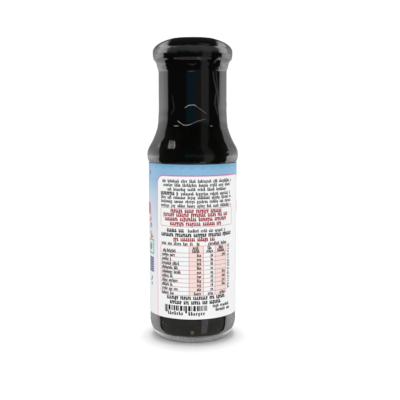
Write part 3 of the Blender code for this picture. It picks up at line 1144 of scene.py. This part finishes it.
# %% Coated paper with its background tint
LABEL_SIDES = 360
LABEL_R = 23.1
LABEL_WALL = 0.2
LABEL_BOTTOM_Z = 14.0
LABEL_TOP_Z = 92.7
OVERLAP_U = 42.0
OVERLAP = 9.0
OVERLAP_LIFT = 0.08
FIBRE_MM = 0.25
SKY_STOPS = [(0.0, "#F1F1F1"), (0.18, "#F1F1F2"), (0.38, "#ECEEF2"), (0.52, "#DDE6EB"),
             (0.66, "#CEDBE6"), (0.79, "#B9D1E2"), (0.90, "#8CBADA"), (1.0, "#78AFD4")]


def coated_paper(name, tint=None, stops=None):
    """Gloss-coated paper with an ink tint: one colour, or stops up the height of the label."""
    made, tree = new_material(name)
    where = add_node(tree, "TexCoord")
    fibre = add_node(tree, "TexNoise", {
        "Scale": 1 / (FIBRE_MM * MM), "Detail": 3.0, "Vector": where.outputs["Object"]})
    press = add_node(tree, "Bump", {"Strength": 0.08, "Distance": 0.02 * MM, "Height": fibre})
    if stops:
        axes = add_node(tree, "SeparateXYZ", {0: where.outputs["Object"]})
        height = add_node(tree, "MapRange", {
            "From Min": LABEL_BOTTOM_Z * MM, "From Max": LABEL_TOP_Z * MM, "Value": axes.outputs["Z"]})
        colour = add_node(tree, "ValToRGB", {"Fac": height},
                          stops=[(place, linear(shade)) for place, shade in stops])
    else:
        colour = linear(tint)
    return finish_material(made, add_node(tree, "BsdfPrincipled", {
        "Base Color": colour, "Roughness": 0.45, "IOR": 1.48, "Specular IOR Level": 0.3,
        "Normal": press}))


sky_paper = coated_paper("coated_paper_sky_tint", stops=SKY_STOPS)
inner_r = LABEL_R - LABEL_WALL
paper_form = spun([(LABEL_R, LABEL_BOTTOM_Z), (LABEL_R, LABEL_TOP_Z), (inner_r, LABEL_TOP_Z),
                   (inner_r, LABEL_BOTTOM_Z)], LABEL_SIDES, ring=True)
for vert in paper_form.verts:
    turn = math.atan2(vert.co.x, -vert.co.y) % math.tau
    past = (turn * LABEL_R - OVERLAP_U) % (math.tau * LABEL_R)
    push_out(vert, LABEL_R, OVERLAP_LIFT * max(0.0, 1 - past / OVERLAP))
paper_form.normal_update()
piece_from(paper_form, "paper_label", sky_paper, "label")

# %% [markdown]
# ## Printing
#
# Each ink is a piece of its own: very thin closed patches, drawn flat and then rolled onto the
# label. On the flat sheet, x is the distance round the label from the front, z is the height and y
# is the depth, all in millimetres. Rolling turns x into an angle, so long patches are cut across
# first, about every millimetre.

# %% Flat patches
PANEL_LIFT = 0.03
INK_LIFT = 0.06
INK_DEPTH = 0.03
CUT_STEP = 1.2
CUT_SLACK = 1e-5
PATCH_WELD = 0.0005


def bar(form, left, right, low, high):
    """A flat rectangular patch."""
    middle = Matrix.Translation(((left + right) / 2, INK_DEPTH / 2, (low + high) / 2))
    size = Matrix.Diagonal((right - left, INK_DEPTH, high - low, 1))
    bmesh.ops.create_cube(form, size=1, matrix=middle @ size)


def rounded(form, left, right, low, high, radius, line=0.0, round_low=True):
    """A flat patch with rounded corners, or only its outline if it has a line width."""
    verts = [form.verts.new((x, 0.0, z))
             for x, z in ((left, low), (right, low), (right, high), (left, high))]
    form.faces.new(verts)
    soft = verts if round_low else verts[2:]
    shaped = bmesh.ops.bevel(form, geom=soft, offset=radius, offset_type="OFFSET", segments=6,
                             profile=0.5, affect="VERTICES", material=-1, clamp_overlap=True)
    face = max(set(shaped["faces"]) | {f for v in shaped["verts"] for f in v.link_faces},
               key=lambda f: f.calc_area())
    flat = [face]
    if line:
        flat = bmesh.ops.inset_region(form, faces=[face], thickness=line, use_boundary=True,
                                      use_even_offset=True)["faces"]
        bmesh.ops.delete(form, geom=[face], context="FACES")
    raised = bmesh.ops.extrude_face_region(form, geom=flat, use_keep_orig=True)["geom"]
    bmesh.ops.translate(form, verts=[g for g in raised if isinstance(g, bmesh.types.BMVert)],
                        vec=(0, INK_DEPTH, 0))


print("patches are", INK_DEPTH, "mm thick")

# %% Roll patches onto the label
def roll_up(form, lift):
    """Cut wide flat patches across, then roll them all onto the label, a little above it."""
    bmesh.ops.remove_doubles(form, verts=form.verts, dist=PATCH_WELD)
    wide = {edge for edge in form.edges if abs(edge.verts[0].co.x - edge.verts[1].co.x) > CUT_STEP}
    if wide:
        left = min(vert.co.x for edge in wide for vert in edge.verts)
        right = max(vert.co.x for edge in wide for vert in edge.verts)
        cuts = math.ceil((right - left) / CUT_STEP)
        for step in range(1, cuts):
            cut_u = left + step * (right - left) / cuts
            bmesh.ops.bisect_plane(form, geom=form.verts[:] + form.edges[:] + form.faces[:],
                                   plane_co=(cut_u, 0, 0), plane_no=(1, 0, 0), dist=CUT_SLACK)
    for vert in form.verts:
        turn = vert.co.x / LABEL_R
        radius = LABEL_R + lift + vert.co.y
        vert.co = Vector((radius * math.sin(turn), -radius * math.cos(turn), vert.co.z)) * MM
    bmesh.ops.recalc_face_normals(form, faces=form.faces)


def rolled(form, name, ink, lift):
    """Roll the patches on and make them a piece."""
    roll_up(form, lift)
    piece_from(form, name, ink)


print("cut every", CUT_STEP, "mm")

# %% [markdown]
# The back panel is a white field with a pink edge and rounded upper corners, which runs off the
# foot of the label. The white field lies on the pink one and is a little smaller.

# %% White panel with a pink edge
PANEL_LEFT = -20.7
PANEL_RIGHT = 33.6
PANEL_HIGH = 87.5
PANEL_CORNER = 4.6
EDGE_WIDTH = 0.75

pink_ink = coated_paper("coated_paper_pink_ink", stops=[
    (0.0, "#F4CFDD"), (0.55, "#F3C9DB"), (0.80, "#DDA9CE"), (0.93, "#C48BBE"), (1.0, "#BE84BB")])
white_paper = coated_paper("coated_paper_bare", tint="#FBFBFB")

edge_form = bmesh.new()
rounded(edge_form, PANEL_LEFT, PANEL_RIGHT, LABEL_BOTTOM_Z, PANEL_HIGH, PANEL_CORNER, round_low=False)
rolled(edge_form, "panel_edge_print", pink_ink, PANEL_LIFT - INK_DEPTH)

field_form = bmesh.new()
rounded(field_form, PANEL_LEFT + EDGE_WIDTH, PANEL_RIGHT - EDGE_WIDTH, LABEL_BOTTOM_Z,
        PANEL_HIGH - EDGE_WIDTH, PANEL_CORNER - EDGE_WIDTH, round_low=False)
rolled(field_form, "panel_field", white_paper, PANEL_LIFT)

# %% [markdown]
# The small print of a real label is words. Here it is only greeked: rows of small upright blocks in
# word-like groups, which have the colour and the rhythm of print from a step away and say nothing
# up close. Each row has a middle height and two ends. A style is the width of a block, the space
# between two, and how tall they are.

# %% Greeked rows
FINE = (0.62, 0.12, 1.65)
PLAIN = (0.64, 0.16, 1.68)
BOLD = (0.80, 0.14, 1.80)
SHORT = (0.76, 0.13, 1.68)
LONG_TAIL = 0.25
SMALL_HIGH = 0.28


def greek(form, left, right, middle, style, gap=1.0):
    """A row of upright blocks in groups, from one end to the other.

    Each block is a stroke and a smaller part beside it. Chance gives some strokes a tail or full
    height, and puts the smaller part high or low.
    """
    width, space, tall = style
    x = left
    group = random.randint(3, 9)
    while x + width <= right:
        kind = random.random()
        foot = middle - tall / 2
        low = foot - (LONG_TAIL * tall if kind > 0.88 else 0.0)
        high = middle + tall / 2 - (0.0 if kind < 0.35 or style is BOLD else SMALL_HIGH * tall)
        stroke = width * random.uniform(0.62, 0.80)
        bar(form, x, x + stroke, low, high)
        if kind < 0.62:
            bar(form, x + stroke, x + width, foot, middle - tall * random.uniform(0.0, 0.2))
        else:
            bar(form, x + stroke, x + width, middle + tall * 0.02, high)
        x += width + space
        group -= 1
        if group == 0:
            x += gap
            group = random.randint(3, 9)


black_ink = coated_paper("coated_paper_black_ink", tint="#121214")
red_ink = coated_paper("coated_paper_red_ink", tint="#A3182B")

PLAIN_ROWS = [(84.5, -16.4, 23.3), (82.5, -15.7, 22.3), (80.4, -13.1, 19.3), (78.2, -5.6, 22.8),
              (76.3, -17.3, 23.4), (74.3, -17.4, 23.6), (72.1, -17.5, 23.9), (59.5, -2.2, 19.0),
              (52.9, -17.2, 0.4), (52.9, 2.2, 4.2), (52.9, 8.2, 19.5)]
BOLD_ROWS = [(78.2, -17.5, -6.6), (59.5, -13.6, -3.4), (57.2, -17.3, 24.1), (25.0, -13.8, 18.8),
             (22.6, -12.0, 16.6)]
SHORT_ROWS = [(20.5, 10.7, 22.6), (18.5, 12.4, 22.8)]
RED_ROWS = [(69.4, -11.4, 16.8), (67.4, -15.8, 21.0), (65.2, -14.8, 20.2), (62.9, -11.7, 17.5),
            (55.0, -9.8, 12.6)]

random.seed(31)
words = bmesh.new()
red_words = bmesh.new()
for form, rows, style in ((words, PLAIN_ROWS, PLAIN), (words, BOLD_ROWS, BOLD),
                          (words, SHORT_ROWS, SHORT), (red_words, RED_ROWS, BOLD)):
    for middle, left, right in rows:
        greek(form, left, right, middle, style)
rolled(red_words, "red_small_print", red_ink, INK_LIFT)

# %% [markdown]
# Below the rows comes a table: a rounded frame, a deeper head row, ten rows under it and four
# columns, two of them filled with pale pink. The entries are short greeked marks, set to the left
# in the first column and to the right in the others.

# %% Table
TABLE_LEFT = -18.0
TABLE_RIGHT = 19.4
TABLE_HIGH = 51.9
TABLE_LOW = 26.25
TABLE_CORNER = 1.4
HEAD_LOW = 48.2
ROW_COUNT = 10
RULES = (-1.65, 5.63, 11.96)
LINE = 0.22
NOTICE = (-17.75, 24.2, 61.4, 70.9)
NOTICE_CORNER = 1.2
FILL_IN = (0.3, 0.2)
RULE_SINK = 0.01

rose_ink = coated_paper("coated_paper_rose_lines", tint="#C4808A")
blush_ink = coated_paper("coated_paper_blush_fill", tint="#FCE3DE")

fills = bmesh.new()
bar(fills, RULES[0], RULES[1], TABLE_LOW, TABLE_HIGH)
bar(fills, RULES[2], TABLE_RIGHT, TABLE_LOW + FILL_IN[0], TABLE_HIGH - FILL_IN[1])
rolled(fills, "table_fill_print", blush_ink, PANEL_LIFT + INK_DEPTH / 2)

lines = bmesh.new()
rounded(lines, TABLE_LEFT, TABLE_RIGHT, TABLE_LOW, TABLE_HIGH, TABLE_CORNER, line=LINE)
rounded(lines, *NOTICE, NOTICE_CORNER, line=LINE)
row_step = (HEAD_LOW - TABLE_LOW) / ROW_COUNT
for row in range(ROW_COUNT):
    row_z = TABLE_LOW + row_step * (row + 1)
    bar(lines, TABLE_LEFT + LINE, TABLE_RIGHT - LINE, row_z - LINE / 2, row_z + LINE / 2)
for rule in RULES:
    bar(lines, rule - LINE / 2, rule + LINE / 2, TABLE_LOW + LINE, TABLE_HIGH - LINE)
rolled(lines, "rule_print", rose_ink, INK_LIFT - RULE_SINK)
print("table rows are", round(row_step, 2), "mm high")

# %% Entries of the table
ENTRY_IN = 1.0
ENTRY_WIDTHS = [8.4, 6.2, 10.6, 10.2, 11.2, 7.0, 10.2, 7.2, 10.3, 7.6]
AMOUNTS = [(RULES[1] - 1.1, 3), (RULES[2] - 1.0, 2), (TABLE_RIGHT - 0.9, 3)]
ROWS_WITHOUT_SHARE = (1, 2, 3, 8)
LAST_ROW_EXTRA = 2
HEAD_ROWS = [(HEAD_LOW + 1.0, [(-16.2, -8.6), (0.0, 4.2), (7.2, 10.9), (13.4, 18.0)]),
             (HEAD_LOW + 2.6, [(0.2, 3.8), (7.8, 10.2), (14.2, 17.2)])]

for row, entry_width in enumerate(ENTRY_WIDTHS):
    middle = HEAD_LOW - row_step * (row + 0.5)
    left = TABLE_LEFT + ENTRY_IN
    greek(words, left, left + entry_width, middle, FINE, gap=0.7)
    for edge, digits in AMOUNTS:
        if edge > RULES[2] and row in ROWS_WITHOUT_SHARE:
            continue
        if row == ROW_COUNT - 1:
            digits += LAST_ROW_EXTRA
        greek(words, edge - digits * (FINE[0] + FINE[1]), edge, middle, FINE, gap=0.0)
for middle, spans in HEAD_ROWS:
    for left, right in spans:
        greek(words, left, right, middle, FINE, gap=0.3)
print("entries:", len(ENTRY_WIDTHS), "rows and a head")

# %% [markdown]
# At the foot is a block of plain stripes of random widths, with small ticks under it, and down the
# right side of the table runs a column of very fine marks.

# %% Stripe block and side column
STRIPE_LEFT = -15.1
STRIPE_RIGHT = 8.3
STRIPE_LOW = 18.3
STRIPE_HIGH = 21.0
STRIPE_WIDTHS = (0.4, 0.6, 0.9, 1.2)
STRIPE_GAPS = (0.3, 0.45, 0.6)
GUARD_LOW = 17.2
GUARD_REACH = 0.8
TICKS = (0.9, 0.35, 1.9)
TICK_Z = 17.0
TICK_SPANS = [(-13.2, -4.6), (-2.0, 6.6)]
SIDE_LEFT = 20.4
SIDE_MIDDLE = 21.1
SIDE_RIGHT = 22.2
SIDE_HIGH = 51.5
SIDE_LOW = 29.0
SIDE_MARK = 0.3

guards = (STRIPE_LEFT, (STRIPE_LEFT + STRIPE_RIGHT) / 2, STRIPE_RIGHT)
x = STRIPE_LEFT
while x < STRIPE_RIGHT - 0.5:
    width = random.choice(STRIPE_WIDTHS)
    guard = min(abs(x - place) for place in guards) < GUARD_REACH
    bar(words, x, x + width, GUARD_LOW if guard else STRIPE_LOW, STRIPE_HIGH)
    x += width + random.choice(STRIPE_GAPS)
for left, right in TICK_SPANS:
    greek(words, left, right, TICK_Z, TICKS, gap=0.0)

z = SIDE_HIGH
while z > SIDE_LOW:
    tall = random.uniform(0.35, 0.6)
    bar(words, SIDE_LEFT, SIDE_MIDDLE, z - tall, z)
    bar(words, SIDE_MIDDLE, random.uniform(SIDE_MIDDLE + 0.4, SIDE_RIGHT), z - SIDE_MARK, z)
    z -= tall + random.choice((0.15, 0.2, 0.6))
rolled(words, "black_small_print", black_ink, INK_LIFT)

# %% [markdown]
# ## Waves in the sky
#
# The blue band carries a very pale pattern of overlapping waves, the old scale pattern of nested
# arcs. Each arc is a thin band spun from one short edge, cut off where the neighbours in front
# cover it. Rows are half a scale apart and shifted by half a scale.

# %% Overlapping waves
SCALE_COUNT = 27
SCALE_R = math.tau * LABEL_R / SCALE_COUNT / 2
ARC_SHARES = (1.0, 0.74, 0.48)
ARC_WIDTH = 0.3
ARC_STEP = 3
ARC_LEAST = 9
WAVE_LIFT = 0.005
WAVE_LOW = 84.5
WAVE_HIGH = LABEL_TOP_Z - SCALE_R - ARC_WIDTH


def hidden(x, z):
    """Whether a spot of a scale, measured from its middle, lies under the row in front."""
    beside = math.hypot(abs(x) - SCALE_R, z + SCALE_R / 2) < SCALE_R
    below = math.hypot(x, z + SCALE_R) < SCALE_R
    return beside or below


def wave_arc(form, middle_u, middle_z, radius):
    """One arc of a scale, as far round as it shows."""
    reach = 0
    while reach < 90:
        turn = math.radians(reach + ARC_STEP)
        if hidden(radius * math.sin(turn), radius * math.cos(turn)):
            break
        reach += ARC_STEP
    if reach < ARC_LEAST:
        return
    start = math.radians(90 + reach)
    inner = radius - ARC_WIDTH
    ends = [(inner, 0.0), (radius, 0.0), (radius, INK_DEPTH / 2), (inner, INK_DEPTH / 2)]
    verts = [form.verts.new((middle_u + r * math.cos(start), y, middle_z + r * math.sin(start)))
             for r, y in ends]
    edges = [form.edges.new(pair) for pair in zip(verts, verts[1:] + verts[:1])]
    bmesh.ops.spin(form, geom=verts + edges, cent=(middle_u, 0, middle_z), axis=(0, 1, 0),
                   angle=math.radians(2 * reach), steps=8)


pale_ink = coated_paper("coated_paper_pale_blue_ink", tint="#9CC9E7")
waves = bmesh.new()
row = 0
middle_z = WAVE_LOW
while middle_z <= WAVE_HIGH:
    for share in ARC_SHARES:
        wave_arc(waves, (row % 2) * SCALE_R, middle_z, SCALE_R * share)
    middle_z += SCALE_R / 2
    row += 1
bmesh.ops.holes_fill(waves, edges=[edge for edge in waves.edges if edge.is_boundary], sides=4)
roll_up(waves, WAVE_LIFT)
bmesh.ops.spin(waves, geom=waves.verts[:] + waves.edges[:] + waves.faces[:], cent=(0, 0, 0),
               axis=(0, 0, 1), angle=math.tau * (1 - 1 / SCALE_COUNT), steps=SCALE_COUNT - 1,
               use_duplicate=True)
piece_from(waves, "wave_print", pale_ink)
print("wave rows:", row)

# %% [markdown]
# ## The front of the label
#
# The front faces away from the photograph, and only its right edge shows. It gets a design of its
# own in the same colours: a magenta ribbon, a bowl with strands and petals of red, teal and green,
# a dark blue plate under it, and a green frame with an oval.

# %% Front design
FRONT_MIDDLE = 75.5
FOLD_COUNT = 9
RIBBON_REACH = 41.4
RIBBON_LOW_Z = 66.2
RIBBON_TALL = 6.0
RIBBON_CORNER = 1.6
FOLD_GAP = 0.4
FOLD_RISE = 0.8
BOWL_Z = 50.0
BOWL_R = 15.0
BOWL_SIDES = 48
PETAL_COUNT = 46
PETAL_SIDES = 12
SCATTER_SIDES = 6
SCATTER = [(116.7, 63.6, 1.5, 0), (117.6, 61.0, 1.3, 1), (116.9, 59.6, 1.0, 0), (117.0, 66.3, 0.7, 0),
           (116.9, 56.6, 1.2, 0), (118.4, 55.0, 1.4, 0), (117.3, 54.2, 0.8, 0), (120.0, 54.6, 0.6, 0)]


def disc(form, middle, height, wide, tall, turn=0.0, sides=20):
    """A flat round or oval patch."""
    made = bmesh.ops.create_cone(form, cap_ends=True, segments=sides, radius1=0.5, radius2=0.5, depth=1)
    place = (Matrix.Translation((middle, INK_DEPTH / 2, height)) @ Matrix.Rotation(turn, 4, "Y")
             @ Matrix.Diagonal((wide, INK_DEPTH, tall, 1)) @ Matrix.Rotation(math.pi / 2, 4, "X"))
    bmesh.ops.transform(form, verts=made["verts"], matrix=place)


magenta_ink = coated_paper("coated_paper_magenta_ink", tint="#E0457F")
ribbon = bmesh.new()
fold_width = 2 * RIBBON_REACH / FOLD_COUNT
for fold in range(FOLD_COUNT):
    start = FRONT_MIDDLE - RIBBON_REACH + fold * fold_width
    fold_z = RIBBON_LOW_Z + FOLD_RISE * (fold % 2)
    rounded(ribbon, start + FOLD_GAP, start + fold_width - FOLD_GAP, fold_z, fold_z + RIBBON_TALL,
            RIBBON_CORNER)
rolled(ribbon, "ribbon_print", magenta_ink, INK_LIFT)

bowl = bmesh.new()
disc(bowl, FRONT_MIDDLE, BOWL_Z, 2 * BOWL_R, 1.5 * BOWL_R, sides=BOWL_SIDES)
rolled(bowl, "bowl_print", white_paper, PANEL_LIFT)

green_ink = coated_paper("coated_paper_green_ink", tint="#3FA468")
petals = [("red_petal_print", coated_paper("coated_paper_vermilion_ink", tint="#E4503F")),
          ("teal_petal_print", coated_paper("coated_paper_teal_ink", tint="#2F8C98")),
          ("leaf_petal_print", green_ink)]
forms = [bmesh.new() for _ in petals]
random.seed(5)
for count in range(PETAL_COUNT):
    turn = random.uniform(0, math.tau)
    reach = math.sqrt(random.random()) * BOWL_R * 0.85
    disc(forms[count % len(forms)], FRONT_MIDDLE + reach * math.cos(turn),
         BOWL_Z + 0.7 * reach * math.sin(turn), random.uniform(1.4, 3.4), random.uniform(0.7, 1.5),
         random.uniform(0, math.pi), sides=PETAL_SIDES)
for middle, height, size, which in SCATTER:
    disc(forms[which], middle, height, 1.3 * size, 1.9 * size, turn=0.5 * height, sides=SCATTER_SIDES)
for (name, ink), form in zip(petals, forms):
    rolled(form, name, ink, INK_LIFT)
print("petals:", PETAL_COUNT + len(SCATTER))

# %% Plate, plain blocks and green frame
PLATE_REACH = 20.0
PLATE_LOW = 31.0
PLATE_HIGH = 36.5
PLATE_CORNER = 1.2
BLOCK_COUNT = 7
BLOCK_ENDS = (115.4, 120.9)
BLOCK_LOW = 36.2
BLOCK_TALL = 0.9
BLOCK_STEP = 1.15
BLUE_MARKS = [(118.4, 32.6, 1.0, 3.4, 0.5), (118.4, 29.8, 1.2, 1.6, 0.0), (116.6, 88.0, 1.2, 2.2, 0.0)]
FRAME = (114.3, 121.1, 45.6, 53.3)
FRAME_CORNER = 0.7
FRAME_LINE = 0.6
OVAL = (117.6, 49.4, 2.6, 4.2, 0.3)

blue_ink = coated_paper("coated_paper_dark_blue_ink", tint="#41458A")
plates = bmesh.new()
rounded(plates, FRONT_MIDDLE - PLATE_REACH, FRONT_MIDDLE + PLATE_REACH, PLATE_LOW, PLATE_HIGH,
        PLATE_CORNER)
for block in range(BLOCK_COUNT):
    block_z = BLOCK_LOW + block * BLOCK_STEP
    rounded(plates, *BLOCK_ENDS, block_z, block_z + BLOCK_TALL, 0.2)
for mark in BLUE_MARKS:
    disc(plates, *mark)
rolled(plates, "dark_blue_print", blue_ink, INK_LIFT)

frame_form = bmesh.new()
rounded(frame_form, *FRAME, FRAME_CORNER, line=FRAME_LINE)
disc(frame_form, *OVAL)
rolled(frame_form, "green_frame_print", green_ink, INK_LIFT)
print("front design done")
